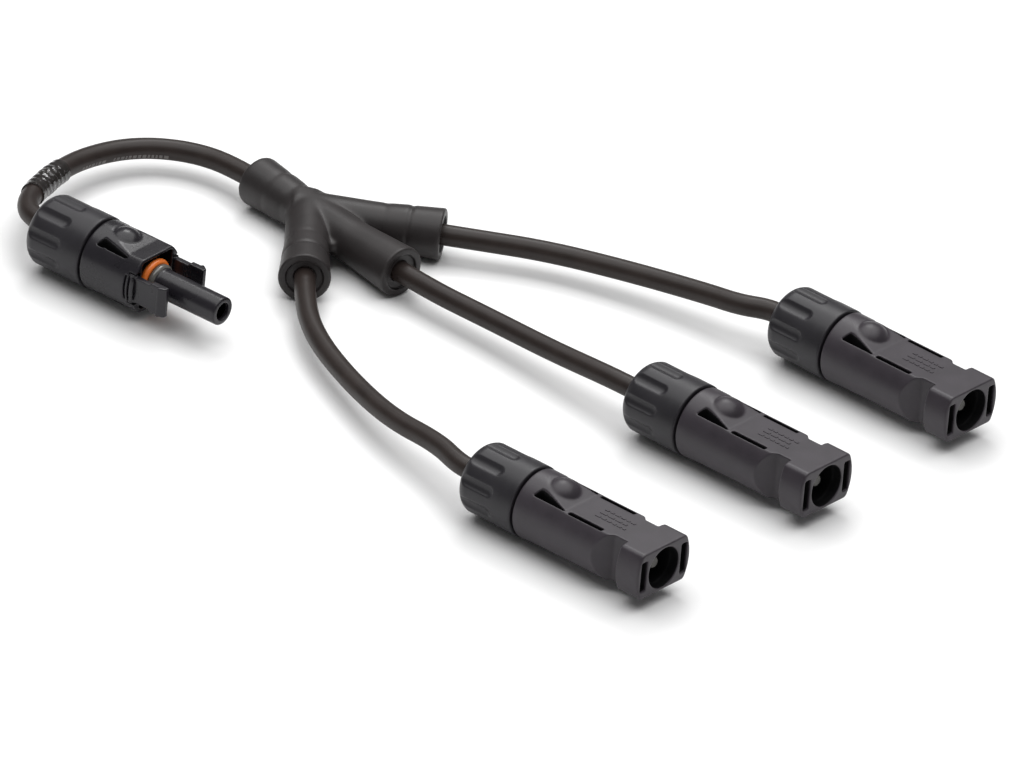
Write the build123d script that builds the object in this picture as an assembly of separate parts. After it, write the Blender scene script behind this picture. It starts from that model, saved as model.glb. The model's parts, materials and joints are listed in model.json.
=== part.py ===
from build123d import *
import math
import os

# Branch lead for solar panels: one plug connector, a moulded splitter and three
# socket connectors, joined by four short cables that lie on a flat surface.
# Units are millimetres.  +X is the way the three sockets face, +Z is up, and the
# origin is on the surface under the middle of the connectors.

# ---------------------------------------------------------------- driving sizes
CABLE_R = 2.7                   # jacket of a 4 mm2 solar cable
STRAND_R = 1.3                  # bare stranded conductor

# Stations along a connector are measured from the seam between nut and body,
# positive towards the mouth.
SEAM_GAP = 0.3                  # half the dark gap between nut and body
NUT_R = 9.5
NUT_REAR = -18.5
NUT_FRONT = -SEAM_GAP
NUT_ROUND = 3.6
NUT_THROAT_R = 3.6
NUT_FLARE_R = 5.4
NUT_THROAT_X = -13.5
NUT_FLUTES = 10
FLUTE_WIDTH = 3.2
FLUTE_DEPTH = 0.7
FLUTE_END = -7.0

TAIL_R = 7.6                    # threaded tail of a body, inside the nut
TAIL_REAR = -11.0
THREAD_GAP = 0.2
GLAND_BORE_R = 6.2
GLAND_BORE_END = -3.0
JACKET_END = -2.5               # where the jacket is stripped inside a connector

CAGE_REAR = -16.6
CAGE_RING_X = -12.0
CAGE_FRONT = -9.3
CAGE_R = 5.9
CAGE_TIP_R = 4.5
CAGE_BORE_R = 3.05
CAGE_FINGERS = 8
CAGE_SLOT = 0.9
SEAL_REAR = -9.0
SEAL_FRONT = -3.0

BODY_R = 9.25
CAVITY_R = 4.4                  # room for crimp and clip
CRIMP_REAR = -1.5
CRIMP_FRONT = 8.0
CRIMP_R = 2.3

# Top and bottom of every body: a thumb dome between two wedge slots.
DOME_X = 8.1
DOME_R = 4.0
DOME_TOP = 9.9
DOME_RISE = 2.0
AXIS_HEIGHT = DOME_TOP          # the connectors rest on their lower domes
WEDGE_REAR = 4.3
WEDGE_FRONT = 14.2
WEDGE_OUTER = 6.55
WEDGE_INNER_REAR = 4.4
WEDGE_INNER_FRONT = 6.0
SLOT_FLOOR = 3.6

# Socket body.
FACE_X = 41.8
PANEL_Z = 6.3                   # flat top and bottom panels
PANEL_RAMP = 4.0                # where the round body starts to slope to the panel
PANEL_START = 14.2
RAIL_SLOT_START = 15.6
RAIL_SLOT_END = 26.6
RAIL_SLOT_WIDTH = 1.2
RAIL_SLOT_Y = 6.05
POCKET_START = 26.0             # side pockets that the plug's latches snap into
POCKET_FLOOR_START = 30.4
POCKET_Y = 5.7
HEAD_START = 34.5
HEAD_HALF_WIDTH = 9.7
HEAD_FLAT = 8.1
LATCH_SLOT_Y = 7.4
LATCH_SLOT_WIDTH = 2.2
LATCH_SLOT_HEIGHT = 8.3
MOUTH_R = 5.5
MOUTH_STEP = 39.0
SEAL_SEAT_R = 5.3
SEAL_SEAT_END = 34.8
SNOUT_BORE_R = 4.1
BULKHEAD_FRONT = 19.0
BULKHEAD_REAR = 17.0
PIN_R = 2.0
PIN_ROOT_R = 2.4                # where the pin fills the bulkhead's hole
PIN_TIP = 38.8

# Plug body.
PLUG_DOME_SHIFT = -1.3          # its domes, slopes and wedge slots sit nearer the seam
PLUG_PANEL_Z = 7.4
HOOD_FRONT = 17.5
HOOD_ROUND = 0.4
RECESS_R = 8.3
RECESS_REAR = 12.8
RECESS_HALF_WIDTH = 5.8
RECESS_HALF_HEIGHT = 6.5
SNOUT_R = 3.7
SNOUT_TIP = 39.2
SNOUT_INNER_R = 2.85
SNOUT_LIP_R = 2.3
SNOUT_LIP_X = 37.9
O_RING_X = 17.0
O_RING_SECTION_R = 0.95
O_RING_SEAT_R = 3.45
COLLAR_R = 4.5
COLLAR_REAR = 18.15
COLLAR_FRONT = 19.2
CONTACT_BORE_R = 2.05
CONTACT_BORE_END = 20.0

LATCH_Y = 7.4
LATCH_PIVOT_X = 16.2
LATCH_KNUCKLE_R = 1.05
LATCH_KNUCKLE_GAP = 0.05
LATCH_HALF_THICK = 0.85
LATCH_TIP = 27.0
LATCH_STEM_HALF_HEIGHT = 3.4
LATCH_BLOCK_START = 22.3
LATCH_BLOCK_HALF_HEIGHT = 4.0
LATCH_CATCH_X = 24.9
LATCH_CATCH_Y = 8.75
LATCH_NOTCH_HALF_HEIGHT = 4.3
LATCH_SLITS = (14.7, 15.9)      # windows over the knuckle
LATCH_SLIT_WIDTH = 0.55

# ---------------------------------------------------------------- layout
# Seam of each connector on the surface, and the way it points in degrees.
SOCKET_SEAMS = {"front": (64.7, -58.4), "middle": (64.7, 2.6), "back": (63.7, 58.4)}
PLUG_SEAM = (-88.0, -47.6)
PLUG_HEADING = 1.6

# Splitter: boots leave the fork at these headings and lengths.
FORK = (-71.6, 11.3)
BOOT_AXIS_HEIGHT = 6.7
BOOTS = {
    "trunk": (172.0, 19.7),
    "front": (-50.0, 33.2),
    "middle": (-7.5, 35.5),
    "back": (31.0, 34.2),
}
BOOT_ROOT_R = 5.6
BOOT_BUTT = -4.0                # blind end of a boot, past the fork
BOOT_MOUTH_R = 6.65
BOOT_TAPER = 17.0               # length of the widening end
BOOT_RECESS_R = 4.7
BOOT_RECESS = 0.8
BOOT_GROOVES = (8.4, 15.0)      # ring grooves, back from the mouth
GROOVE_DEPTH = 0.35
GROOVE_HALF_WIDTH = 0.8
WEB_REACH = 19.5
WEB_THICK = 2.6
JACKET_IN_BOOT = 9.0
FERRULE_R = 3.5
FERRULE_LENGTH = 9.0
FERRULE_HOLE_DEPTH = 3.0
CORE_SPREAD = 1.65              # core centres from the ferrule's axis

# Cable routes, chosen by hand: corners of the path that each cable follows.
ROUTES = {
    "trunk": [
        (-90.50, -47.67, 9.9), (-112.99, -48.30, 9.9), (-122.8, -30.5, 8.8), (-126.6, -14.5, 7.6),
        (-123.5, 2.5, 6.5), (-113.0, 12.8, 6.2), (-98.73, 15.11, 6.7), (-82.20, 12.79, 6.7),
    ],
    "front": [
        (-56.04, -7.24, 6.7), (-45.11, -20.27, 6.7), (-31.0, -32.6, 6.2), (-10.5, -42.8, 6.3),
        (11.0, -51.2, 7.6), (29.0, -54.2, 9.5), (41.0, -58.4, 9.9), (62.2, -58.4, 9.9),
    ],
    "middle": [
        (-45.33, 7.84, 6.7), (-28.47, 5.62, 6.7), (-6.0, 5.6, 6.9), (16.0, 3.9, 8.1),
        (33.0, 2.8, 9.6), (41.5, 2.6, 9.9), (62.2, 2.6, 9.9),
    ],
    "back": [
        (-50.00, 24.28, 6.7), (-35.60, 32.93, 6.7), (-20.0, 43.0, 6.4), (0.5, 50.0, 7.0),
        (22.0, 54.4, 8.4), (32.5, 55.0, 9.5), (41.0, 58.4, 9.9), (61.2, 58.4, 9.9),
    ],
}
SLEEVE_R = 3.1                  # clear label sleeve on the trunk cable
SLEEVE_GAP = 0.05
SLEEVE_CORNER = 2               # corner of the trunk route that it goes round
SLEEVE_REACH = 8.0              # how far it goes along each run from there

FAR = 60.0                      # larger than any one piece, for cutters


# ---------------------------------------------------------------- helpers
def turned(corners, rounds=None):
    """Solid turned about X from (x, radius) corners; rounds gives corner number: radius."""
    half = make_face(Polyline(*corners, close=True))
    for number, radius in (rounds or {}).items():
        corner = half.vertices().sort_by_distance(Vector(*corners[number]))[0]
        half = fillet(corner, radius)
    return revolve(half, Axis.X, 360)


def rod(start, end, radius):
    """Round bar along X between two stations."""
    return Pos((start + end) / 2, 0, 0) * Rot(0, 90, 0) * Cylinder(radius, end - start)


def block(x_range, y_range, z_range):
    """Box between two corners."""
    spans = [high - low for low, high in (x_range, y_range, z_range)]
    middle = [(high + low) / 2 for low, high in (x_range, y_range, z_range)]
    return Pos(*middle) * Box(*spans)


def upright(outline, half_height):
    """Prism with a plan outline of (x, y) corners, centred on the axis height."""
    flat = Plane.XY.offset(-half_height) * make_face(Polyline(*outline, close=True))
    return extrude(flat, 2 * half_height)


def both_sides(shape):
    """A shape and its mirror image in the connector's middle plane."""
    return [shape, mirror(shape, Plane.XZ)]


def top_and_bottom(shape):
    """A shape and its mirror image in the connector's level plane."""
    return [shape, mirror(shape, Plane.XY)]


def cut_all(shape, cutters):
    """Take a list of cutters away from a shape."""
    for cutter in cutters:
        shape = shape - cutter
    return shape


# ---------------------------------------------------------------- gland pieces
def gland_nut():
    """Cap nut that squeezes the clamp cage; round flutes give the grip."""
    nut = turned(
        [
            (NUT_REAR, NUT_FLARE_R), (NUT_REAR, NUT_R), (NUT_FRONT, NUT_R),
            (NUT_FRONT, TAIL_R + THREAD_GAP), (TAIL_REAR - 0.5, TAIL_R + THREAD_GAP),
            (TAIL_REAR - 0.5, CAGE_R + 0.5), (NUT_THROAT_X - 3.3, CAGE_TIP_R + 0.4),
            (NUT_THROAT_X - 3.3, NUT_THROAT_R + 0.5),
        ],
        {1: NUT_ROUND, 2: 0.4},
    )
    cutter_r = ((FLUTE_WIDTH / 2) ** 2 + FLUTE_DEPTH**2) / (2 * FLUTE_DEPTH)
    cutter_y = NUT_R - FLUTE_DEPTH + cutter_r
    cutter = Pos(0, cutter_y, 0) * rod(NUT_REAR - 1, FLUTE_END - cutter_r / 2, cutter_r)
    cutter += Pos(FLUTE_END - cutter_r / 2, cutter_y, 0) * Sphere(cutter_r)
    turn = 360 / NUT_FLUTES
    return cut_all(nut, [Rot(turn * (0.5 + number), 0, 0) * cutter for number in range(NUT_FLUTES)])


def clamp_cage():
    """Slotted collet: a ring with fingers that the nut closes on the jacket."""
    cage = turned(
        [
            (CAGE_REAR, CAGE_BORE_R), (CAGE_REAR, CAGE_TIP_R), (CAGE_RING_X, CAGE_R),
            (CAGE_FRONT, CAGE_R), (CAGE_FRONT, CAGE_BORE_R),
        ]
    )
    slot = block((CAGE_REAR - 1, CAGE_RING_X), (0, FAR), (-CAGE_SLOT / 2, CAGE_SLOT / 2))
    turn = 360 / CAGE_FINGERS
    return cut_all(cage, [Rot(turn * number, 0, 0) * slot for number in range(CAGE_FINGERS)])


def cable_seal():
    """Rubber ring that grips the jacket inside the body's tail."""
    rim = GLAND_BORE_R - 0.35
    return turned(
        [
            (SEAL_REAR, CABLE_R), (SEAL_REAR, rim), (SEAL_REAR + 1.5, GLAND_BORE_R),
            (SEAL_FRONT - 1.5, GLAND_BORE_R), (SEAL_FRONT, rim), (SEAL_FRONT, CABLE_R),
        ]
    )


def bare_conductor():
    """Stripped strands from the jacket's end into the crimp."""
    return rod(JACKET_END, CRIMP_FRONT - 1.0, STRAND_R)


def retaining_clip(start, end, neck_r):
    """Spring clip round the contact's neck, whose barbs stop at the cavity wall."""
    wall = 0.25
    clip = turned(
        [
            (start, neck_r), (start, neck_r + wall), (end - 1.0, CAVITY_R - 0.1),
            (end - 0.6, CAVITY_R - 0.1), (end - 1.0, neck_r + wall), (end, neck_r + wall), (end, neck_r),
        ]
    )
    gap = block((start - 1, end + 1), (-FAR, FAR), (-0.6, 0.6))
    return clip - gap


# ---------------------------------------------------------------- bodies
def body_blank(front, front_rounds):
    """Round body with its threaded tail, from the tail to a station."""
    corners = [
        (TAIL_REAR, 0), (TAIL_REAR, TAIL_R), (SEAM_GAP, TAIL_R), (SEAM_GAP, BODY_R), (front, BODY_R), (front, 0),
    ]
    return turned(corners, {1: 0.5, 3: 0.35, **front_rounds})


def thumb_dome(shift=0):
    """Shallow round cap that stands proud of the body."""
    ball_r = (DOME_R**2 + DOME_RISE**2) / (2 * DOME_RISE)
    ball = Pos(DOME_X + shift, 0, DOME_TOP - ball_r) * Sphere(ball_r)
    keep = block((DOME_X - FAR, DOME_X + FAR), (-FAR, FAR), (DOME_TOP - DOME_RISE - 1.5, DOME_TOP + 1))
    return ball & keep


def wedge_slots(shift=0):
    """Tapered slots on both sides of a dome."""
    outline = [
        (WEDGE_REAR + 1.2, WEDGE_INNER_REAR), (WEDGE_REAR, WEDGE_OUTER),
        (WEDGE_FRONT, WEDGE_OUTER), (WEDGE_FRONT, WEDGE_INNER_FRONT),
    ]
    flat = Plane.XY.offset(SLOT_FLOOR) * make_face(Polyline(*outline, close=True))
    return both_sides(Pos(shift, 0, 0) * extrude(flat, FAR))


def sloped_panels(ramp, start, height):
    """Cutters for flat panels above and below, with a slope down to them."""
    outline = [(ramp, BODY_R + 0.1), (start, height), (FAR, height), (FAR, FAR), (ramp, FAR)]
    side = Plane.XZ.offset(-FAR / 2) * make_face(Polyline(*outline, close=True))
    return top_and_bottom(extrude(side, FAR))


def gland_bore():
    """Room for seal and cage in a body's tail, and the way for the jacket."""
    return rod(TAIL_REAR - 1, GLAND_BORE_END, GLAND_BORE_R) + rod(GLAND_BORE_END - 1, 0, CAVITY_R)


def socket_head():
    """Block at the mouth: flat above and below, with bulging sides."""
    right = ThreePointArc((HEAD_FLAT, PANEL_Z), (HEAD_HALF_WIDTH, 0), (HEAD_FLAT, -PANEL_Z))
    left = ThreePointArc((-HEAD_FLAT, -PANEL_Z), (-HEAD_HALF_WIDTH, 0), (-HEAD_FLAT, PANEL_Z))
    lids = [Line((side * HEAD_FLAT, side * PANEL_Z), (-side * HEAD_FLAT, side * PANEL_Z)) for side in (1, -1)]
    section = make_face([right.edge(), left.edge()] + [lid.edge() for lid in lids])
    head = extrude(Plane.YZ.offset(HEAD_START) * section, FACE_X - HEAD_START)
    long_edges = head.edges().filter_by(Axis.X)
    head = fillet(long_edges, 1.5)
    return fillet(head.faces().sort_by(Axis.X)[-1].edges(), 0.4)


def socket_body():
    """Body with the wide mouth, side pockets and slots for the latches."""
    body = body_blank(HEAD_START + 0.5, {})
    panels = sloped_panels(PANEL_RAMP, PANEL_START, PANEL_Z)
    pocket = upright(
        [
            (POCKET_START, BODY_R + 0.1), (POCKET_FLOOR_START, POCKET_Y), (HEAD_START + 1, POCKET_Y),
            (HEAD_START + 1, FAR), (POCKET_START, FAR),
        ],
        FAR,
    )
    body = cut_all(body, panels + both_sides(pocket))
    for dome in top_and_bottom(thumb_dome()):
        body = body + dome
    rail = block(
        (RAIL_SLOT_START, RAIL_SLOT_END),
        (RAIL_SLOT_Y - RAIL_SLOT_WIDTH / 2, RAIL_SLOT_Y + RAIL_SLOT_WIDTH / 2),
        (SLOT_FLOOR, FAR),
    )
    slots = wedge_slots() + both_sides(rail)
    body = cut_all(body, [part for slot in slots for part in top_and_bottom(slot)])
    body = body + socket_head()
    latch_slot = block(
        (HEAD_START - 1, FACE_X + 1),
        (LATCH_SLOT_Y - LATCH_SLOT_WIDTH / 2, LATCH_SLOT_Y + LATCH_SLOT_WIDTH / 2),
        (-LATCH_SLOT_HEIGHT / 2, LATCH_SLOT_HEIGHT / 2),
    )
    bores = [
        gland_bore(),
        rod(-1, BULKHEAD_REAR, CAVITY_R),
        rod(BULKHEAD_REAR - 1, BULKHEAD_FRONT + 1, PIN_ROOT_R + 0.1),
        rod(BULKHEAD_FRONT, FACE_X + 1, SNOUT_BORE_R),
        rod(SEAL_SEAT_END, FACE_X + 1, SEAL_SEAT_R),
        rod(MOUTH_STEP, FACE_X + 1, MOUTH_R),
    ]
    return cut_all(body, both_sides(latch_slot) + bores)


def pin_contact():
    """Turned contact: crimp barrel, neck for the clip, collar and pin."""
    neck_r = 2.6
    contact = turned(
        [
            (CRIMP_REAR, STRAND_R), (CRIMP_REAR, CRIMP_R), (CRIMP_FRONT, CRIMP_R),
            (CRIMP_FRONT + 0.5, neck_r), (14.6, neck_r), (14.6, 3.9), (BULKHEAD_REAR, 3.9),
            (BULKHEAD_REAR, PIN_ROOT_R), (BULKHEAD_FRONT, PIN_ROOT_R), (BULKHEAD_FRONT + 0.3, PIN_R),
            (PIN_TIP, PIN_R), (PIN_TIP, 0), (CRIMP_FRONT - 1.0, 0), (CRIMP_FRONT - 1.0, STRAND_R),
        ],
        {10: 0.9},
    )
    return contact


def plug_body():
    """Body with the hood, the slim snout and the notches that hold the latches."""
    body = body_blank(HOOD_FRONT, {4: HOOD_ROUND})
    panels = sloped_panels(PANEL_RAMP + PLUG_DOME_SHIFT, PANEL_START + PLUG_DOME_SHIFT, PLUG_PANEL_Z)
    body = cut_all(body, panels)
    for dome in top_and_bottom(thumb_dome(PLUG_DOME_SHIFT)):
        body = body + dome
    body = cut_all(body, [part for slot in wedge_slots(PLUG_DOME_SHIFT) for part in top_and_bottom(slot)])
    recess = rod(RECESS_REAR, HOOD_FRONT + 1, RECESS_R)
    recess = recess & block(
        (0, FAR), (-RECESS_HALF_WIDTH, RECESS_HALF_WIDTH), (-RECESS_HALF_HEIGHT, RECESS_HALF_HEIGHT)
    )
    pocket_r = LATCH_KNUCKLE_R + LATCH_KNUCKLE_GAP
    notch = block(
        (LATCH_PIVOT_X, FAR),
        (LATCH_Y - pocket_r, LATCH_Y + pocket_r),
        (-LATCH_NOTCH_HALF_HEIGHT, LATCH_NOTCH_HALF_HEIGHT),
    )
    notch += Pos(LATCH_PIVOT_X, LATCH_Y, 0) * Cylinder(pocket_r, 2 * LATCH_NOTCH_HALF_HEIGHT)
    body = cut_all(body, [recess] + both_sides(notch))
    for station in LATCH_SLITS:
        slit = block(
            (station - LATCH_SLIT_WIDTH / 2, station + LATCH_SLIT_WIDTH / 2),
            (LATCH_Y + 0.6, FAR),
            (-LATCH_STEM_HALF_HEIGHT, LATCH_STEM_HALF_HEIGHT),
        )
        body = cut_all(body, both_sides(slit))
    snout = turned(
        [
            (RECESS_REAR - 1, 0), (RECESS_REAR - 1, 4.7), (O_RING_X - 1.15, 4.7), (O_RING_X - 1.15, O_RING_SEAT_R),
            (COLLAR_REAR, O_RING_SEAT_R), (COLLAR_REAR, COLLAR_R), (COLLAR_FRONT, COLLAR_R),
            (COLLAR_FRONT + 0.7, SNOUT_R), (SNOUT_TIP, SNOUT_R), (SNOUT_TIP, 0),
        ],
        {5: 0.2, 6: 0.3, 8: 0.35},
    )
    body = body + snout
    bores = [
        gland_bore(),
        rod(-1, RECESS_REAR - 1.3, CAVITY_R),
        rod(RECESS_REAR - 2, SNOUT_LIP_X, SNOUT_INNER_R),
        rod(SNOUT_LIP_X - 1, SNOUT_TIP + 1, SNOUT_LIP_R),
    ]
    return cut_all(body, bores)


def socket_contact():
    """Turned contact: crimp barrel, neck, collar and the tube that takes a pin."""
    neck_r = 2.6
    tube_r = SNOUT_INNER_R - 0.1
    step_x = RECESS_REAR - 1.3
    return turned(
        [
            (CRIMP_REAR, STRAND_R), (CRIMP_REAR, CRIMP_R), (CRIMP_FRONT - 3.5, CRIMP_R), (CRIMP_FRONT - 3.0, neck_r),
            (step_x - 1.5, neck_r), (step_x - 1.5, 3.9), (step_x, 3.9), (step_x, tube_r), (SNOUT_LIP_X, tube_r),
            (SNOUT_LIP_X, CONTACT_BORE_R), (CONTACT_BORE_END, CONTACT_BORE_R), (CONTACT_BORE_END, 0),
            (CRIMP_FRONT - 1.0, 0), (CRIMP_FRONT - 1.0, STRAND_R),
        ]
    )


def o_ring():
    """Orange ring that seals the plug's snout in a socket's mouth."""
    ring = Torus(O_RING_SEAT_R + O_RING_SECTION_R, O_RING_SECTION_R)
    return Pos(O_RING_X, 0, 0) * Rot(0, 90, 0) * ring


def latch_arm():
    """Sprung arm on the plug's left side, with its knuckle and its catch."""
    stem = upright(
        [
            (LATCH_PIVOT_X, LATCH_Y - LATCH_HALF_THICK), (LATCH_BLOCK_START + 0.5, LATCH_Y - LATCH_HALF_THICK),
            (LATCH_BLOCK_START + 0.5, LATCH_Y + LATCH_HALF_THICK), (LATCH_PIVOT_X, LATCH_Y + LATCH_HALF_THICK),
        ],
        LATCH_STEM_HALF_HEIGHT,
    )
    head = upright(
        [
            (LATCH_BLOCK_START, LATCH_Y - LATCH_HALF_THICK), (LATCH_TIP, LATCH_Y - LATCH_HALF_THICK),
            (LATCH_TIP, LATCH_Y + 0.3), (LATCH_CATCH_X + 0.5, LATCH_CATCH_Y), (LATCH_CATCH_X, LATCH_CATCH_Y),
            (LATCH_CATCH_X, LATCH_Y + LATCH_HALF_THICK), (LATCH_BLOCK_START, LATCH_Y + LATCH_HALF_THICK),
        ],
        LATCH_BLOCK_HALF_HEIGHT,
    )
    knuckle = Pos(LATCH_PIVOT_X, LATCH_Y, 0) * Cylinder(LATCH_KNUCKLE_R, 2 * LATCH_BLOCK_HALF_HEIGHT)
    return stem + head + knuckle


# ---------------------------------------------------------------- splitter
def at_boot(name, shape):
    """Move a shape from the fork, pointing along X, to a boot's own line."""
    heading = BOOTS[name][0]
    return Pos(FORK[0], FORK[1], BOOT_AXIS_HEIGHT) * Rot(0, 0, heading) * shape


def boot(name):
    """One moulded boot, from the fork to its rimmed mouth."""
    length = BOOTS[name][1]
    taper = min(BOOT_TAPER, length)
    slope = (BOOT_MOUTH_R - BOOT_ROOT_R) / taper
    grooves = []
    if name != "middle":
        for back in sorted(BOOT_GROOVES, reverse=True):
            if back + GROOVE_HALF_WIDTH < taper:
                radius = BOOT_MOUTH_R - slope * back
                grooves += [
                    (length - back - GROOVE_HALF_WIDTH, radius), (length - back, radius - GROOVE_DEPTH),
                    (length - back + GROOVE_HALF_WIDTH, radius),
                ]
    corners = [(BOOT_BUTT, 0), (BOOT_BUTT, BOOT_ROOT_R), (length - taper, BOOT_ROOT_R)] + grooves
    rim = len(corners)
    corners += [
        (length, BOOT_MOUTH_R), (length, BOOT_RECESS_R), (length - BOOT_RECESS, BOOT_RECESS_R),
        (length - BOOT_RECESS, 0),
    ]
    return at_boot(name, turned(corners, {rim: 0.5}))


def core_route(name):
    """Corners of a stripped core, from its jacket into the ferrule."""
    angle = math.radians(BOOTS["middle"][0])
    along = Vector(math.cos(angle), math.sin(angle), 0)
    across = Vector(-math.sin(angle), math.cos(angle), 0)
    middle = Vector(FORK[0], FORK[1], BOOT_AXIS_HEIGHT)
    shift = {"trunk": (0, 0), "front": (-CORE_SPREAD, -0.9), "middle": (0, 1.8), "back": (CORE_SPREAD, -0.9)}[name]
    side = -1 if name == "trunk" else 1
    face = middle + along * (side * FERRULE_LENGTH / 2) + across * shift[0] + Vector(0, 0, shift[1])
    heading, length = BOOTS[name]
    outward = Vector(math.cos(math.radians(heading)), math.sin(math.radians(heading)), 0)
    jacket = middle + outward * (length - JACKET_IN_BOOT)
    return face - along * (side * FERRULE_HOLE_DEPTH), face, jacket, outward


def splitter_core(name):
    """Stripped core between a cable's jacket and the splice ferrule."""
    tip, face, jacket, outward = core_route(name)
    if name == "trunk":
        path = Line(tip, jacket)
    else:
        along = (face - tip).normalized()
        bend_a = face + along * 1.5
        bend_b = jacket - outward * 2.5
        path = FilletPolyline(tip, bend_a, bend_b, jacket, radius=2.2)
    return sweep(Plane(path @ 0, z_dir=path % 0) * Circle(STRAND_R), path=path)


def splice_ferrule():
    """Crimped ferrule that joins the trunk core to the three branch cores."""
    angle = BOOTS["middle"][0]
    barrel = Rot(0, 90, 0) * Cylinder(FERRULE_R, FERRULE_LENGTH)
    return Pos(FORK[0], FORK[1], BOOT_AXIS_HEIGHT) * Rot(0, 0, angle) * barrel


def web():
    """Thin moulded web between the front and middle boots."""
    corners = [(FORK[0], FORK[1])]
    for name in ("front", "middle"):
        heading = math.radians(BOOTS[name][0])
        corners.append((FORK[0] + WEB_REACH * math.cos(heading), FORK[1] + WEB_REACH * math.sin(heading)))
    flat = make_face(Polyline(*corners, close=True))
    return extrude(Plane.XY.offset(BOOT_AXIS_HEIGHT - WEB_THICK / 2) * flat, WEB_THICK)


# ---------------------------------------------------------------- cables
def bend_radii(route):
    """Largest tangent arc for each corner of a route: 0.45 of its shorter run."""
    points = [Vector(*point) for point in route]
    radii = []
    for before, corner, after in zip(points, points[1:], points[2:]):
        turn = (corner - before).get_angle(after - corner)
        shorter = min((corner - before).length, (after - corner).length)
        radii.append(0.45 * shorter / math.tan(math.radians(turn) / 2))
    return radii


def tube(path, outer_r, inner_r=0.0):
    """Round tube, or a solid rod, swept along a path."""
    start = Plane(path @ 0, z_dir=path % 0)
    solid = sweep(start * Circle(outer_r), path=path)
    if inner_r:
        solid = solid - sweep(start * Circle(inner_r), path=path)
    return solid


def cable(name):
    """Free cable along its route, with a note of its bends and volume."""
    route = ROUTES[name]
    radii = bend_radii(route)
    path = FilletPolyline(*route, radius=radii)
    solid = tube(path, CABLE_R)
    expected = math.pi * CABLE_R**2 * path.length
    print(name, "cable", round(path.length, 1), "mm, radii", [round(radius) for radius in radii],
          "volume ratio", round(solid.volume / expected, 4))
    return solid


def label_sleeve():
    """Clear sleeve on the trunk cable, round one of its bends."""
    route = ROUTES["trunk"]
    radius = bend_radii(route)[SLEEVE_CORNER - 1]
    before, corner, after = [Vector(*point) for point in route[SLEEVE_CORNER - 1:SLEEVE_CORNER + 2]]
    start = corner + (before - corner).normalized() * SLEEVE_REACH
    end = corner + (after - corner).normalized() * SLEEVE_REACH
    path = FilletPolyline(start, corner, end, radius=radius)
    return tube(path, SLEEVE_R, CABLE_R + SLEEVE_GAP)


# ---------------------------------------------------------------- assembly
def at_connector(seam, heading, shape):
    """Lay a connector piece down with its seam at a place on the surface."""
    return Pos(seam[0], seam[1], AXIS_HEIGHT) * Rot(0, 0, heading) * shape


def build_nodes():
    """Every node of the lead, by name."""
    gland = {
        "gland_nut": gland_nut(),
        "clamp_cage": clamp_cage(),
        "cable_seal": cable_seal(),
        "conductor": bare_conductor(),
    }
    socket = {
        **gland,
        "housing": socket_body(),
        "contact_pin": pin_contact(),
        "retaining_clip": retaining_clip(9.5, 14.6, 2.6),
    }
    plug = {
        **gland,
        "housing": plug_body(),
        "contact_tube": socket_contact(),
        "retaining_clip": retaining_clip(5.5, 10.0, 2.6),
        "o_ring": o_ring(),
    }
    plug["left_latch"], plug["right_latch"] = both_sides(latch_arm())
    nodes = {}
    for place, seam in SOCKET_SEAMS.items():
        for piece, shape in socket.items():
            nodes[f"{place}_{piece}"] = at_connector(seam, 0, shape)
    for piece, shape in plug.items():
        nodes[f"plug_{piece}"] = at_connector(PLUG_SEAM, PLUG_HEADING, shape)
    for name in ROUTES:
        nodes[f"{name}_cable"] = cable(name)
    nodes["label_sleeve"] = label_sleeve()
    inside = []
    for name in BOOTS:
        nodes[f"splitter_{name}_core"] = splitter_core(name)
        inside.append(nodes[f"splitter_{name}_core"])
        length = BOOTS[name][1]
        inside.append(at_boot(name, rod(length - JACKET_IN_BOOT, length + 1, CABLE_R)))
    cores = [nodes[f"splitter_{name}_core"] for name in BOOTS]
    nodes["splitter_ferrule"] = cut_all(splice_ferrule(), cores)
    overmould = web()
    for name in BOOTS:
        overmould = overmould + boot(name)
    nodes["splitter_overmould"] = cut_all(overmould, inside + [splice_ferrule()])
    return nodes


os.makedirs("parts", exist_ok=True)
for node, shape in build_nodes().items():
    export_step(shape, f"parts/{node}.step")
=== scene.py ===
import json
import math
import random

import bpy
from mathutils import Matrix, Vector


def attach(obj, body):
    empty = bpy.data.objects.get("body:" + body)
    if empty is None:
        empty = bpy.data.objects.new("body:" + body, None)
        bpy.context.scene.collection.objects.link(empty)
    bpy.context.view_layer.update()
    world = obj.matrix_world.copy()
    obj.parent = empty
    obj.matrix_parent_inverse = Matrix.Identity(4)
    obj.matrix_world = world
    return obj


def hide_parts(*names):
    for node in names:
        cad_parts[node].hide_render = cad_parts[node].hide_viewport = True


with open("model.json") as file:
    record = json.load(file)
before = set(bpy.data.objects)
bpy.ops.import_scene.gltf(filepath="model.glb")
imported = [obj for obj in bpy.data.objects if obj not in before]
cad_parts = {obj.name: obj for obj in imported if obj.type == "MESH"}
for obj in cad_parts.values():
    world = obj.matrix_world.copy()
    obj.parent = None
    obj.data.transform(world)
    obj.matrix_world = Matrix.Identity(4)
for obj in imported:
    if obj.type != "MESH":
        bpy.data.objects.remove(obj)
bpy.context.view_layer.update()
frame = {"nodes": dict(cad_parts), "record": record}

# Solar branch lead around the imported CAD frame. Metres; sizes written in
# millimetres are multiplied by MM.
MM = 0.001

# Where each connector lies: seam between nut and body, and heading in degrees.
SEAMS = {
    "front": (64.7, -58.4, 0.0),
    "middle": (64.7, 2.6, 0.0),
    "back": (63.7, 58.4, 0.0),
    "plug": (-88.0, -47.6, 1.6),
}
SOCKETS = ("front", "middle", "back")
AXIS_HEIGHT = 9.9
FORK = (-71.6, 11.3)
CABLE_R = 2.7

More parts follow.
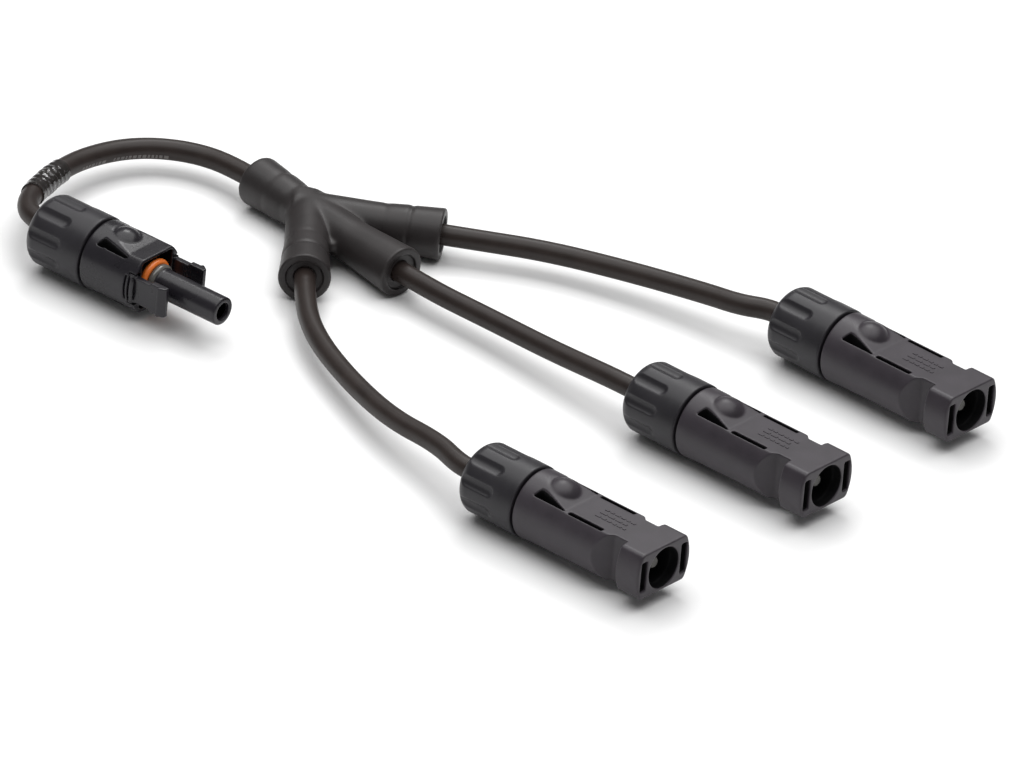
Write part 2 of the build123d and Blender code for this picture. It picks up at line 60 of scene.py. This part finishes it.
# Bodies, in millimetres from the seam along the axis and from the axis outwards.
BODY_R = 9.25
PANEL_Z = 6.3
PANEL_RAMP = 4.0
PANEL_START = 14.2
PLUG_PANEL_Z = 7.4
PLUG_SHIFT = -1.3
SOCKET_DOME_X = 9.4
PLUG_DOME_X = 7.4
O_RING_X = 17.0
O_RING_R = 4.4
O_RING_SECTION_R = 0.95
THREAD_SPAN = (-10.6, -1.0)
THREAD_RADII = (7.3, 7.8)
THREAD_PITCH = 1.5
THREAD_HEIGHT = 0.12

# Where shade is painted in with a near-black material, for the deep shade: top slots, latch slots, mouth and
# hood.
SLOT_SPAN = (3.0, 27.0)
PLUG_SLOT_SPAN = (1.5, 13.2)
SLOT_SIDES = (4.2, 6.9)
SLOT_FLOOR = 3.3
SLOT_LIP = 0.4
LATCH_SLOT_SPAN = (34.8, 41.2)
LATCH_SLOT_SIDES = (6.2, 8.6)
LATCH_SLOT_TOP = 4.25
MOUTH_SPAN = (19.5, 41.5)
BORE_R = 5.6
HOOD_SPAN = (12.5, 17.0)
HOOD_R = 8.5
HOOD_SIDE = 6.1
HOOD_TOP = 6.8
# The collar span and radii mark where the lighter grey goes, a painted highlight on the collar's edge.
COLLAR_SPAN = (18.05, 19.7)
COLLAR_RADII = (3.9, 4.7)

# Raised bars on a socket's panel: lines across it, and how far they go along it.
MARK_LINES = (1.9, 0.0, -1.9)
MARK_START = 20.6
MARK_LAST_START = 29.6
MARK_END = 30.2
MARK_LENGTHS = (0.9, 2.1)
MARK_GAP = 0.55
MARK_HEIGHT = 0.14
MARK_SINK = 0.1
MARK_HALF_BASE = 0.42
MARK_HALF_TOP = 0.32

# Clear sleeve, and the dashes printed on the trunk, measured from the sleeve's middle.
SLEEVE_R = 3.10
SLEEVE_HALF_LENGTH = 8.2
SLEEVE_CORNER = 3
WRINKLE_HEIGHT = 0.12
CREASE_HEIGHT = 0.10
PRINT_START = 15.0
PRINT_BREAK = (23.5, 26.5)
PRINT_END = 42.0
PRINT_LENGTHS = (0.5, 1.3)
PRINT_GAP = 0.45
PRINT_HEIGHT = 0.015
PRINT_ARC = (-32.0, -8.0)

# Cable routes in metres: the corners that the CAD tubes follow. On the trunk, front
# and back, the corner next to the connector is split in two, so that each curve
# runs nearly straight through its clamp cage and nut.
ROUTES = {
    "trunk": [
        (-0.09050, -0.04767, 0.0099), (-0.11000, -0.04822, 0.0099), (-0.1180, -0.0430, 0.0096),
        (-0.1228, -0.0305, 0.0088), (-0.1266, -0.0145, 0.0076), (-0.1235, 0.0025, 0.0065),
        (-0.1130, 0.0128, 0.0062), (-0.09873, 0.01511, 0.0067), (-0.08220, 0.01279, 0.0067),
    ],
    "front": [
        (-0.05604, -0.00724, 0.0067), (-0.04511, -0.02027, 0.0067), (-0.0310, -0.0326, 0.0062),
        (-0.0105, -0.0428, 0.0063), (0.0110, -0.0512, 0.0076), (0.0290, -0.0542, 0.0095),
        (0.0395, -0.0584, 0.0099), (0.0450, -0.0584, 0.0099), (0.0622, -0.0584, 0.0099),
    ],
    "middle": [
        (-0.04533, 0.00784, 0.0067), (-0.02847, 0.00562, 0.0067), (-0.0060, 0.0056, 0.0069),
        (0.0160, 0.0039, 0.0081), (0.0330, 0.0028, 0.0096), (0.0415, 0.0026, 0.0099),
        (0.0622, 0.0026, 0.0099),
    ],
    "back": [
        (-0.05000, 0.02428, 0.0067), (-0.03560, 0.03293, 0.0067), (-0.0200, 0.0430, 0.0064),
        (0.0005, 0.0500, 0.0070), (0.0220, 0.0544, 0.0084), (0.0325, 0.0550, 0.0095),
        (0.0395, 0.0584, 0.0099), (0.0450, 0.0584, 0.0099), (0.0612, 0.0584, 0.0099),
    ],
}

# Camera: a long lens from the front right, looking down, turned a little clockwise.
VIEW_TARGET = Vector((0.0112, -0.0051, 0.0))
VIEW_AZIMUTH = math.radians(38.7)
VIEW_ELEVATION = math.radians(29.5)
VIEW_ROLL = math.radians(5.3)
VIEW_DISTANCE = 8.0
PIXELS_PER_METRE = 4050.0
FRAME_WIDTH = 1024
SENSOR_WIDTH = 36.0

WORLD_STRENGTH = 0.17
TOP_SOFTBOX = ((-0.08, 0.08, 1.0), (1.7, 1.4), 18.0)
BACK_SOFTBOX = ((-0.54, 0.66, 1.0), (0.45, 0.30), 3.6)
FLOOR_SIZE = 6.0
FLOOR_DROP = 0.00005


# ------------------------------------------------------------ materials
def plain_material(name, colour, roughness, bump=0.1, grain=3000.0, vary=0.12, specular=0.5):
    """Moulded plastic or rubber: fine grain, slight colour and gloss variation."""
    material = bpy.data.materials.new(name)
    material.use_nodes = True
    tree = material.node_tree
    shader = tree.nodes["Principled BSDF"]
    shader.inputs["Specular IOR Level"].default_value = specular
    coords = tree.nodes.new("ShaderNodeTexCoord")
    cloud = tree.nodes.new("ShaderNodeTexNoise")
    cloud.inputs["Scale"].default_value = 180.0
    cloud.inputs["Detail"].default_value = 4.0
    fine = tree.nodes.new("ShaderNodeTexNoise")
    fine.inputs["Scale"].default_value = grain
    fine.inputs["Detail"].default_value = 3.0
    tree.links.new(coords.outputs["Object"], cloud.inputs["Vector"])
    tree.links.new(coords.outputs["Object"], fine.inputs["Vector"])
    ramp = tree.nodes.new("ShaderNodeValToRGB")
    ramp.color_ramp.elements[0].position = 0.35
    ramp.color_ramp.elements[0].color = (*[c * (1 - vary) for c in colour], 1)
    ramp.color_ramp.elements[1].position = 0.65
    ramp.color_ramp.elements[1].color = (*[c * (1 + vary) for c in colour], 1)
    tree.links.new(cloud.outputs["Fac"], ramp.inputs["Fac"])
    tree.links.new(ramp.outputs["Color"], shader.inputs["Base Color"])
    gloss = tree.nodes.new("ShaderNodeMapRange")
    gloss.inputs["To Min"].default_value = roughness - 0.06
    gloss.inputs["To Max"].default_value = roughness + 0.06
    tree.links.new(cloud.outputs["Fac"], gloss.inputs["Value"])
    tree.links.new(gloss.outputs["Result"], shader.inputs["Roughness"])
    relief = tree.nodes.new("ShaderNodeBump")
    relief.inputs["Strength"].default_value = bump
    relief.inputs["Distance"].default_value = 0.0001
    tree.links.new(fine.outputs["Fac"], relief.inputs["Height"])
    tree.links.new(relief.outputs["Normal"], shader.inputs["Normal"])
    return material


def metal_material(name, colour, roughness):
    """Bare or plated metal with a fine turned grain."""
    material = plain_material(name, colour, roughness, bump=0.05, grain=6000.0, vary=0.06)
    material.node_tree.nodes["Principled BSDF"].inputs["Metallic"].default_value = 1.0
    return material


def film_material(name):
    """Crinkled clear film: see-through, with a gloss that catches the light."""
    material = plain_material(
        name, (0.85, 0.85, 0.85), 0.10, bump=0.9, grain=650.0, vary=0.05, specular=0.9,
    )
    material.node_tree.nodes["Principled BSDF"].inputs["Transmission Weight"].default_value = 1.0
    return material


MATERIALS = {
    "housing_plastic": plain_material("housing_plastic", (0.034, 0.028, 0.035), 0.43, specular=0.42),
    "nut_plastic": plain_material("nut_plastic", (0.0195, 0.0180, 0.0215), 0.42, specular=0.36),
    "cage_plastic": plain_material("cage_plastic", (0.035, 0.035, 0.038), 0.5),
    "seal_rubber": plain_material("seal_rubber", (0.02, 0.02, 0.02), 0.7),
    "orange_rubber": plain_material(
        "orange_rubber", (1.0, 0.235, 0.035), 0.30, bump=0.05, vary=0.0, specular=0.7,
    ),
    "cable_jacket": plain_material("cable_jacket", (0.0240, 0.0172, 0.0150), 0.42, specular=0.30),
    "overmould_rubber": plain_material("overmould_rubber", (0.0240, 0.0205, 0.0205), 0.46, specular=0.36),
    "clear_film": film_material("clear_film"),
    # The contacts' plated metal is painted dark, standing in for the shade inside the mouth where the pin
    # sits.
    "plated_contact": metal_material("plated_contact", (0.06, 0.058, 0.055), 0.16),
    "copper_strands": metal_material("copper_strands", (0.70, 0.33, 0.18), 0.35),
    "spring_steel": metal_material("spring_steel", (0.5, 0.5, 0.5), 0.3),
}
PRINT_INK = plain_material("print_ink", (0.13, 0.12, 0.115), 0.6, bump=0.02)
PLUG_PLASTIC = plain_material("plug_plastic", (0.0150, 0.0135, 0.0170), 0.28, specular=0.36)
# Painted shade: a near-black material put on the faces inside slots, mouth and hood, where deep shade falls.
PAINTED_RECESS_SHADE = plain_material("painted_recess_shade", (0.004, 0.004, 0.0045), 0.6, specular=0.2)
# Painted highlight: a light grey on the snout's collar, standing in for the highlight on its edge; the
# plug's plastic is really dark there.
COLLAR_PAINTED_HIGHLIGHT = plain_material("collar_painted_highlight", (0.11, 0.105, 0.095), 0.18, specular=0.8)
for entry in frame["record"]["subparts"]:
    node = frame["nodes"][entry["node"]]
    node.data.materials.clear()
    node.data.materials.append(MATERIALS[entry["material_slot"]])


# ------------------------------------------------------------ building helpers
def add_object(name, data):
    """New object in the scene."""
    obj = bpy.data.objects.new(name, data)
    bpy.context.scene.collection.objects.link(obj)
    return obj


def mesh_object(name, vertices, faces, material):
    """New mesh piece with one material and smooth faces."""
    mesh = bpy.data.meshes.new(name)
    mesh.from_pydata([tuple(vertex) for vertex in vertices], [], faces)
    mesh.materials.append(material)
    mesh.polygons.foreach_set("use_smooth", [True] * len(mesh.polygons))
    mesh.update()
    return add_object(name, mesh)


def placement(connector):
    """Matrix from a connector's own axes, seam at the origin, to its place."""
    x, y, heading = SEAMS[connector]
    turn = Matrix.Rotation(math.radians(heading), 4, "Z")
    return Matrix.Translation((x * MM, y * MM, AXIS_HEIGHT * MM)) @ turn


def finished(obj, body, slot, *nodes):
    """Tie a piece to its body, in place of some CAD nodes; slot is not used."""
    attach(obj, body)
    if nodes:
        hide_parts(*nodes)


def evaluated_mesh(obj):
    """Mesh of an object with its modifiers worked in."""
    graph = bpy.context.evaluated_depsgraph_get()
    graph.update()
    return bpy.data.meshes.new_from_object(obj.evaluated_get(graph), depsgraph=graph)


def moulded_mesh(node, voxel, passes, keep, centre=None, reach=0.0, extra=0):
    """Mesh of a CAD piece with soft moulded edges, softest within reach of a centre in plan."""
    blank = add_object("moulding_blank", frame["nodes"][node].data.copy())
    remesh = blank.modifiers.new("remesh", "REMESH")
    remesh.mode = "VOXEL"
    remesh.voxel_size = voxel * MM
    mesh = evaluated_mesh(blank)
    bpy.data.objects.remove(blank)
    blank = add_object("moulding_blank", mesh)
    soften = blank.modifiers.new("soften", "SMOOTH")
    soften.factor = 0.5
    soften.iterations = passes
    if centre:
        group = blank.vertex_groups.new(name="near_centre")
        for vertex in mesh.vertices:
            distance = (vertex.co.xy - Vector(centre).xy * MM).length / MM
            weight = min(1.0, max(0.0, 3.0 * (1.0 - distance / reach)))
            if weight > 0:
                group.add([vertex.index], weight, "REPLACE")
        blend = blank.modifiers.new("blend", "SMOOTH")
        blend.factor = 0.5
        blend.iterations = extra
        blend.vertex_group = group.name
    reduce = blank.modifiers.new("reduce", "DECIMATE")
    reduce.ratio = keep
    result = evaluated_mesh(blank)
    bpy.data.objects.remove(blank)
    result.polygons.foreach_set("use_smooth", [True] * len(result.polygons))
    return result


def within(value, span):
    """Whether a value lies between two limits."""
    return span[0] < value < span[1]


def cut_thread(mesh):
    """Raise a helical thread on a tail, in a connector's own axes."""
    for vertex in mesh.vertices:
        x, y, z = vertex.co / MM
        radius = math.hypot(y, z)
        if not THREAD_RADII[0] <= radius <= THREAD_RADII[1] or not within(x, THREAD_SPAN):
            continue
        phase = 2 * math.pi * x / THREAD_PITCH - math.atan2(z, y)
        grown = radius - THREAD_HEIGHT + THREAD_HEIGHT * (1 + math.cos(phase))
        vertex.co.y *= grown / radius
        vertex.co.z *= grown / radius


# ------------------------------------------------------------ connectors
def top_surface(x, y, panel):
    """Height of a body's outside above its axis: round, with a slope down to a flat panel."""
    share = (x - PANEL_RAMP) / (PANEL_START - PANEL_RAMP)
    slope = BODY_R - (BODY_R - panel) * min(1.0, max(0.0, share))
    return min(slope, math.sqrt(max(0.0, BODY_R**2 - y**2)))


def socket_painted_shade(x, y, z):
    """Number of the socket housing's material at a point: 1, the painted shade, inside slots and mouth."""
    side, up = abs(y), abs(z)
    slot_heights = (SLOT_FLOOR, top_surface(x, y, PANEL_Z) - SLOT_LIP)
    in_slot = within(x, SLOT_SPAN) and within(side, SLOT_SIDES) and within(up, slot_heights)
    in_latch_slot = within(x, LATCH_SLOT_SPAN) and within(side, LATCH_SLOT_SIDES) and up < LATCH_SLOT_TOP
    in_mouth = within(x, MOUTH_SPAN) and math.hypot(y, z) < BORE_R
    return 1 if in_slot or in_latch_slot or in_mouth else 0


def plug_painted_light(x, y, z):
    """Number of the plug housing's material at a point: 1, the painted shade, inside slots and hood; 2, the
    painted highlight, on the collar.
    """
    side, up, radius = abs(y), abs(z), math.hypot(y, z)
    slot_heights = (SLOT_FLOOR, top_surface(x - PLUG_SHIFT, y, PLUG_PANEL_Z) - SLOT_LIP)
    in_slot = within(x, PLUG_SLOT_SPAN) and within(side, SLOT_SIDES) and within(up, slot_heights)
    in_hood = within(x, HOOD_SPAN) and radius < HOOD_R and side < HOOD_SIDE and up < HOOD_TOP
    on_collar = within(x, COLLAR_SPAN) and within(radius, COLLAR_RADII)
    return 2 if on_collar else 1 if in_slot or in_hood else 0


def make_moulded_set(piece, connectors, body, slot, voxel=0.2, passes=6, keep=0.4,
                     materials=None, painted_light_at=None, **softest):
    """The same moulded piece on several connectors, from one mesh."""
    mesh = moulded_mesh(f"{connectors[0]}_{piece}", voxel, passes, keep, **softest)
    mesh.transform(placement(connectors[0]).inverted())
    mesh.materials.clear()
    for material in materials or [MATERIALS[slot]]:
        mesh.materials.append(material)
    if painted_light_at:
        cut_thread(mesh)
        # Faces in slots, mouth and hood take the painted shade material, and on the plug the collar takes
        # the painted highlight.
        numbers = [painted_light_at(*(polygon.center / MM)) for polygon in mesh.polygons]
        mesh.polygons.foreach_set("material_index", numbers)
    for connector in connectors:
        obj = add_object(f"{connector}_{piece}_moulding", mesh)
        obj.matrix_world = placement(connector)
        finished(obj, body.format(connector), slot, f"{connector}_{piece}")


def make_overmould():
    """Splitter's rubber, with its boots blended softly where they meet."""
    mesh = moulded_mesh("splitter_overmould", voxel=0.22, passes=8, keep=0.35, centre=FORK, reach=27.0,
                        extra=110)
    mesh.materials.clear()
    mesh.materials.append(MATERIALS["overmould_rubber"])
    obj = add_object("splitter_overmould_moulding", mesh)
    finished(obj, "root", "overmould_rubber", "splitter_overmould")


def make_panel_marks():
    """Three lines of plain raised bars on each socket's panel, with no lettering."""
    random.seed(4)
    bars = []
    for across in MARK_LINES:
        along = MARK_START
        while along < MARK_LAST_START:
            length = random.uniform(*MARK_LENGTHS)
            bars.append((along, min(along + length, MARK_END), across))
            along += length + MARK_GAP
    for connector in SOCKETS:
        vertices = []
        faces = []
        for start, end, across in bars:
            base = len(vertices)
            for z, half in ((PANEL_Z - MARK_SINK, MARK_HALF_BASE), (PANEL_Z + MARK_HEIGHT, MARK_HALF_TOP)):
                for x, y in ((start, -half), (end, -half), (end, half), (start, half)):
                    vertices.append(placement(connector) @ Vector((x * MM, (across + y) * MM, z * MM)))
            faces += [
                (base, base + 3, base + 2, base + 1), (base + 4, base + 5, base + 6, base + 7),
                (base, base + 1, base + 5, base + 4), (base + 1, base + 2, base + 6, base + 5),
                (base + 2, base + 3, base + 7, base + 6), (base + 3, base, base + 4, base + 7),
            ]
        obj = mesh_object(f"{connector}_panel_marks", vertices, faces, MATERIALS["housing_plastic"])
        obj.data.polygons.foreach_set("use_smooth", [False] * len(faces))
        finished(obj, "root", "housing_plastic")


def make_o_ring():
    """Round orange ring behind the snout's collar."""
    rings, sides = 96, 24
    vertices = []
    faces = []
    for ring in range(rings):
        around = 2 * math.pi * ring / rings
        for side in range(sides):
            tilt = 2 * math.pi * side / sides
            radius = O_RING_R + O_RING_SECTION_R * math.cos(tilt)
            x = O_RING_X + O_RING_SECTION_R * math.sin(tilt)
            place = Vector((x * MM, radius * math.cos(around) * MM, radius * math.sin(around) * MM))
            vertices.append(placement("plug") @ place)
            here, there = ring * sides, (ring + 1) % rings * sides
            after = (side + 1) % sides
            faces.append((here + side, there + side, there + after, here + after))
    obj = mesh_object("plug_o_ring_round", vertices, faces, MATERIALS["orange_rubber"])
    finished(obj, "root", "orange_rubber", "plug_o_ring")


# ------------------------------------------------------------ cables
def nurbs_curve(name):
    """Curve object along a cable's route, with no thickness yet."""
    route = ROUTES[name.split("_")[0]]
    curve = bpy.data.curves.new(name, "CURVE")
    curve.dimensions = "3D"
    curve.resolution_u = 24
    spline = curve.splines.new("NURBS")
    spline.points.add(len(route) - 1)
    for point, place in zip(spline.points, route):
        point.co = (*place, 1.0)
    spline.order_u = 3
    spline.use_endpoint_u = True
    return add_object(name, curve)


def trunk_line():
    """Points along the trunk cable's curve, with their distance from the plug end."""
    guide = nurbs_curve("trunk_guide")
    points = [vertex.co.copy() for vertex in evaluated_mesh(guide).vertices]
    bpy.data.objects.remove(guide)
    distances = [0.0]
    for before, after in zip(points, points[1:]):
        distances.append(distances[-1] + (after - before).length)
    return points, distances


def at_distance(line, distance):
    """Place and two cross directions at a distance along a line."""
    points, distances = line
    index = max(1, next((i for i, d in enumerate(distances) if d >= distance), len(points) - 1))
    share = (distance - distances[index - 1]) / (distances[index] - distances[index - 1])
    place = points[index - 1].lerp(points[index], share)
    forward = (points[index] - points[index - 1]).normalized()
    side = forward.cross(Vector((0, 0, 1))).normalized()
    return place, side, side.cross(forward)


def skin(name, line, start, end, radius_at, rings, sides, material, arc=(0.0, 360.0)):
    """Tube, or strip of one, along part of a line; radius_at takes share and angle."""
    vertices = []
    faces = []
    closed = arc[1] - arc[0] >= 360.0
    columns = sides if closed else sides + 1
    for ring in range(rings + 1):
        share = ring / rings
        place, side, up = at_distance(line, start + (end - start) * share)
        for column in range(columns):
            angle = math.radians(arc[0] + (arc[1] - arc[0]) * column / sides)
            radius = radius_at(share, angle) * MM
            vertices.append(place + side * (radius * math.cos(angle)) + up * (radius * math.sin(angle)))
    for ring in range(rings):
        for column in range(sides):
            after = (column + 1) % columns
            here, there = ring * columns, (ring + 1) * columns
            faces.append((here + column, there + column, there + after, here + after))
    return mesh_object(name, vertices, faces, material)


def make_sleeve(line):
    """Loose clear sleeve with soft wrinkles round the trunk's bend."""
    corner = Vector(ROUTES["trunk"][SLEEVE_CORNER])
    points, distances = line
    middle = min(zip(points, distances), key=lambda pair: (pair[0] - corner).length)[1]

    def radius_at(share, angle):
        wrinkle = WRINKLE_HEIGHT * math.sin(15 * share * math.pi + 1.6 * math.sin(2 * angle))
        crease = CREASE_HEIGHT * math.sin(5 * angle + 11 * share)
        return SLEEVE_R + (wrinkle + crease) * math.sin(math.pi * share)

    start, end = middle - SLEEVE_HALF_LENGTH * MM, middle + SLEEVE_HALF_LENGTH * MM
    sleeve = skin("label_sleeve_film", line, start, end, radius_at, 64, 40, MATERIALS["clear_film"])
    finished(sleeve, "root", "clear_film", "label_sleeve")
    return sleeve, middle


def make_print(line, sleeve_middle):
    """Two runs of plain dashes along the trunk, where a cable carries its printing."""
    random.seed(9)
    pieces = []
    distance = sleeve_middle + PRINT_START * MM
    break_start, break_end = [sleeve_middle + limit * MM for limit in PRINT_BREAK]
    number = 0
    while distance < sleeve_middle + PRINT_END * MM:
        length = random.uniform(*PRINT_LENGTHS) * MM
        if break_start < distance < break_end:
            distance = break_end
        number += 1
        dash = skin(f"trunk_print_{number}", line, distance, distance + length,
                    lambda share, angle: CABLE_R + PRINT_HEIGHT, 4, 4, PRINT_INK, arc=PRINT_ARC)
        finished(dash, "root", "cable_jacket")
        pieces.append(dash)
        distance += length + PRINT_GAP * MM
    return pieces


def make_cable(name):
    """Round cable along its route."""
    obj = nurbs_curve(f"{name}_cable_jacket")
    curve = obj.data
    curve.bevel_depth = CABLE_R * MM
    curve.bevel_resolution = 10
    curve.use_fill_caps = True
    curve.materials.append(MATERIALS["cable_jacket"])
    finished(obj, "root", "cable_jacket", f"{name}_cable")


# ------------------------------------------------------------ floor, light, camera
def make_floor():
    """Plain white floor just under the lead."""
    bpy.ops.mesh.primitive_plane_add(size=FLOOR_SIZE, location=(0, 0, -FLOOR_DROP))
    floor = bpy.context.object
    floor.name = "floor"
    floor.data.materials.append(plain_material("floor_paper", (0.90, 0.90, 0.90), 0.9, bump=0.0, vary=0.0))


def area_light(name, place, size, power):
    """Soft rectangular light aimed at the middle of the floor."""
    light = bpy.data.lights.new(name, "AREA")
    light.shape = "RECTANGLE"
    light.size, light.size_y = size
    light.energy = power
    obj = add_object(name, light)
    obj.location = place
    obj.rotation_euler = Vector(place).to_track_quat("Z", "Y").to_euler()


def make_light():
    """Dim white surroundings, a softbox overhead, and one low behind for the sheen."""
    world = bpy.data.worlds.new("studio")
    bpy.context.scene.world = world
    world.use_nodes = True
    background = world.node_tree.nodes["Background"]
    background.inputs["Color"].default_value = (1.0, 1.0, 1.0, 1.0)
    background.inputs["Strength"].default_value = WORLD_STRENGTH
    area_light("top_softbox", *TOP_SOFTBOX)
    area_light("back_softbox", *BACK_SOFTBOX)


def make_camera():
    """Long lens at the view's angle."""
    camera = bpy.data.cameras.new("camera")
    obj = add_object("camera", camera)
    back = Vector((
        math.sin(VIEW_AZIMUTH) * math.cos(VIEW_ELEVATION),
        -math.cos(VIEW_AZIMUTH) * math.cos(VIEW_ELEVATION),
        math.sin(VIEW_ELEVATION),
    ))
    turned = back.to_track_quat("Z", "Y").to_matrix().to_4x4() @ Matrix.Rotation(VIEW_ROLL, 4, "Z")
    obj.matrix_world = Matrix.Translation(VIEW_TARGET + back * VIEW_DISTANCE) @ turned
    camera.sensor_width = SENSOR_WIDTH
    camera.lens = PIXELS_PER_METRE * VIEW_DISTANCE * SENSOR_WIDTH / FRAME_WIDTH
    camera.clip_end = 30.0
    bpy.context.scene.camera = obj


make_camera()
trunk = trunk_line()
sleeve, sleeve_middle = make_sleeve(trunk)
prints = make_print(trunk, sleeve_middle)
for name in ROUTES:
    make_cable(name)

# Socket housings: dark painted shade on the faces in the slots and mouth.
make_moulded_set("housing", SOCKETS, "root", "housing_plastic",
                 materials=[MATERIALS["housing_plastic"], PAINTED_RECESS_SHADE], painted_light_at=socket_painted_shade,
                 centre=(SEAMS["front"][0] + SOCKET_DOME_X, SEAMS["front"][1]), reach=6.5, extra=30)
# Plug housing: dark painted shade in the slots and hood, and a painted highlight on the collar.
make_moulded_set("housing", ("plug",), "root", "housing_plastic", passes=4,
                 materials=[PLUG_PLASTIC, PAINTED_RECESS_SHADE, COLLAR_PAINTED_HIGHLIGHT], painted_light_at=plug_painted_light,
                 centre=(SEAMS["plug"][0] + PLUG_DOME_X, SEAMS["plug"][1]), reach=5.5, extra=12)
make_moulded_set("gland_nut", tuple(SEAMS), "{}_nut", "nut_plastic")
make_moulded_set("clamp_cage", tuple(SEAMS), "{}_cage", "cage_plastic", voxel=0.18, passes=3, keep=0.5)
for hand in ("left", "right"):
    make_moulded_set(f"{hand}_latch", ("plug",), f"plug_{hand}_arm", "housing_plastic", voxel=0.15, passes=4,
                     materials=[PLUG_PLASTIC])
make_overmould()
make_panel_marks()
make_o_ring()
make_floor()
make_light()
bpy.context.scene.view_settings.view_transform = "Standard"
